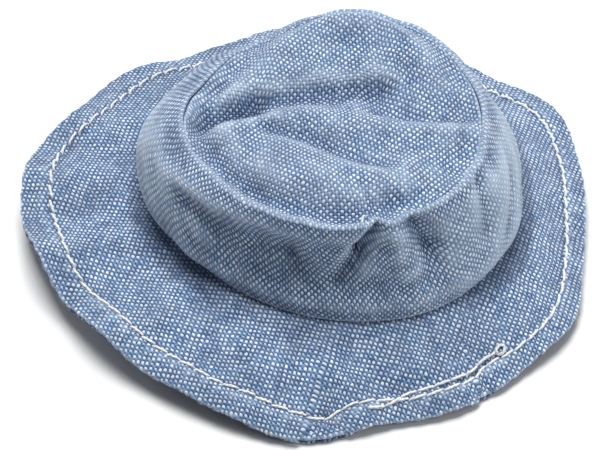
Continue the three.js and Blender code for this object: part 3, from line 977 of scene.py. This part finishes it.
def make_topstitching(material):
    count = STITCHES_ROUND * 18
    angle = np.linspace(0, TAU, count, endpoint=False)
    wander = 0.15 * waves(20 * np.cos(angle), 20 * np.sin(angle), 13.0, 31)
    slant = 0.17 * (1 - 2 * (angle * STITCHES_ROUND / TAU % 1))
    row = stitch_row(angle)
    hole = hole_share(angle)
    s = row + wander + slant
    main = brim_thread(brim_point(angle, s, needle_height(angle, s, hole)), outward(angle, 1), True)
    over = joined([main, second_row(int(30 / 360 * count)), curled_end()])
    add_piece("topstitching_over", *over, material, "sewing_thread", ["topstitch_needle_thread"])
    height = UNDER + 0.5 * stitch_channel(angle, row) - HALF - THREAD * 0.3 + 0.4 * hole
    under = brim_thread(brim_point(angle, row + wander, height), outward(angle, 1), True)
    add_piece("topstitching_under", *under, material, "sewing_thread", ["topstitch_bobbin_thread"])


def seam_thread(name, replaced, line, stitches, material, samples=14):
    """A seam's thread: line gives the point and side at an angle and a depth of stitch."""
    angle = np.linspace(0, TAU, stitches * samples, endpoint=False)
    hole = (0.5 + 0.5 * np.cos(angle * stitches)) ** 4
    centres, beside = line(angle, hole)
    add_piece(name, *tube(centres, beside, THREAD / 2, True, sides=8, twist=THREAD_TWIST), material,
              "sewing_thread", [replaced])


def make_seam_threads(material):
    def tip_line(angle, hole):
        p = band_surface(angle, 0 * angle + 0.12, hanging=True)
        return p + outward(angle, -1.0 + 0.3 * hole), upward(1 + 0 * angle)

    def brim_line(angle, hole):
        return inside_crown(angle, -1.6 + 0.35 * hole, 1.6 + 0 * angle), upward(1 + 0 * angle)

    seam_thread("tip_seam_stitching", "tip_seam_thread", tip_line, stitches=52, material=material)
    seam_thread("brim_seam_stitching", "brim_seam_thread", brim_line, stitches=62, material=material)
    share = np.linspace(0.2, 0.8, 60)
    angle = np.full_like(share, math.radians(BACK_SEAM))
    stitch = 2.5
    hole = (0.5 + 0.5 * np.cos(share * BAND_HEIGHT / stitch * TAU)) ** 4
    p = band_surface(angle, share) + outward(angle, -0.75 + 0.3 * hole)
    beside = np.stack([-np.sin(angle), np.cos(angle), 0 * angle], -1)
    line = tube(p, beside, THREAD / 2, False, twist=THREAD_TWIST)
    add_piece("back_seam_stitching", *line, material, "sewing_thread", ["band_end_seam_thread"])


# ---- the hat ----

def find_shift():
    """The step from the hat's own middle to the frame's, from the brim's CAD box."""
    low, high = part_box("brim_upper")
    edge = ring(BRIM_EDGE, np.arange(48) * TAU / 48)
    own = (edge.min(axis=0) + edge.max(axis=0)) / 2
    middle = (low + high) / 2 / MM
    return np.array([middle.x - own[0], middle.y - own[1], 0.0])


SHIFT = find_shift()
brim_cloth = chambray("chambray_brim", 30, 0.06)
tip_cloth = chambray("chambray_tip", 7, 0.06)
band_cloth = chambray("chambray_band", 0, 0.06)
thread = sewing_thread()
make_brim(brim_cloth)
make_interlining(interlining_cloth())
make_band(band_cloth)
make_tip(tip_cloth)
make_topstitching(thread)
make_seam_threads(thread)


# ---- floor, light and camera ----

def add_floor():
    mesh = bpy.data.meshes.new("floor")
    mesh.from_pydata([(-3, -3, 0), (3, -3, 0), (3, 3, 0), (-3, 3, 0)], [], [(0, 1, 2, 3)])
    g = Graph("pale_floor")
    g.put(g.shader.inputs["Base Color"], (0.90, 0.90, 0.90, 1))
    g.shader.inputs["Roughness"].default_value = 0.9
    g.shader.inputs["Sheen Weight"].default_value = 0.0
    mesh.materials.append(g.material)
    floor = bpy.data.objects.new("floor", mesh)
    bpy.context.scene.collection.objects.link(floor)


def add_light(name, place_m, size, power):
    """A soft square lamp that faces the hat."""
    lamp = bpy.data.lights.new(name, "AREA")
    lamp.shape = "SQUARE"
    lamp.size = size
    lamp.energy = power
    holder = bpy.data.objects.new(name, lamp)
    holder.location = place_m
    holder.rotation_euler = (-Vector(place_m)).to_track_quat("-Z", "Y").to_euler()
    bpy.context.scene.collection.objects.link(holder)


def add_world(strength):
    world = bpy.data.worlds.new("studio")
    world.use_nodes = True
    background = world.node_tree.nodes["Background"]
    background.inputs["Color"].default_value = (1, 1, 1, 1)
    background.inputs["Strength"].default_value = strength
    bpy.context.scene.world = world


def add_camera(elevation, distance, lens, target):
    camera = bpy.data.cameras.new("camera")
    camera.sensor_width = 36
    camera.lens = lens
    camera.clip_start, camera.clip_end = 0.01, 10
    holder = bpy.data.objects.new("camera", camera)
    e = math.radians(elevation)
    back = Vector((0, -math.cos(e), math.sin(e)))
    holder.location = Vector(target) + back * distance
    holder.rotation_euler = (-back).to_track_quat("-Z", "Y").to_euler()
    bpy.context.scene.collection.objects.link(holder)
    bpy.context.scene.camera = holder


add_floor()
add_world(0.08)
add_light("overhead", place_m=(-0.04, 0.2, 0.75), size=0.42, power=6.9)
add_light("left_side", place_m=(-0.55, 0.42, 0.25), size=0.35, power=0.8)
add_light("right_side", place_m=(0.6, -0.25, 0.28), size=0.35, power=1.5)
add_camera(elevation=46, distance=0.4, lens=172.66, target=(-0.00055, -0.00022, 0))
bpy.context.scene.view_settings.view_transform = "Standard"
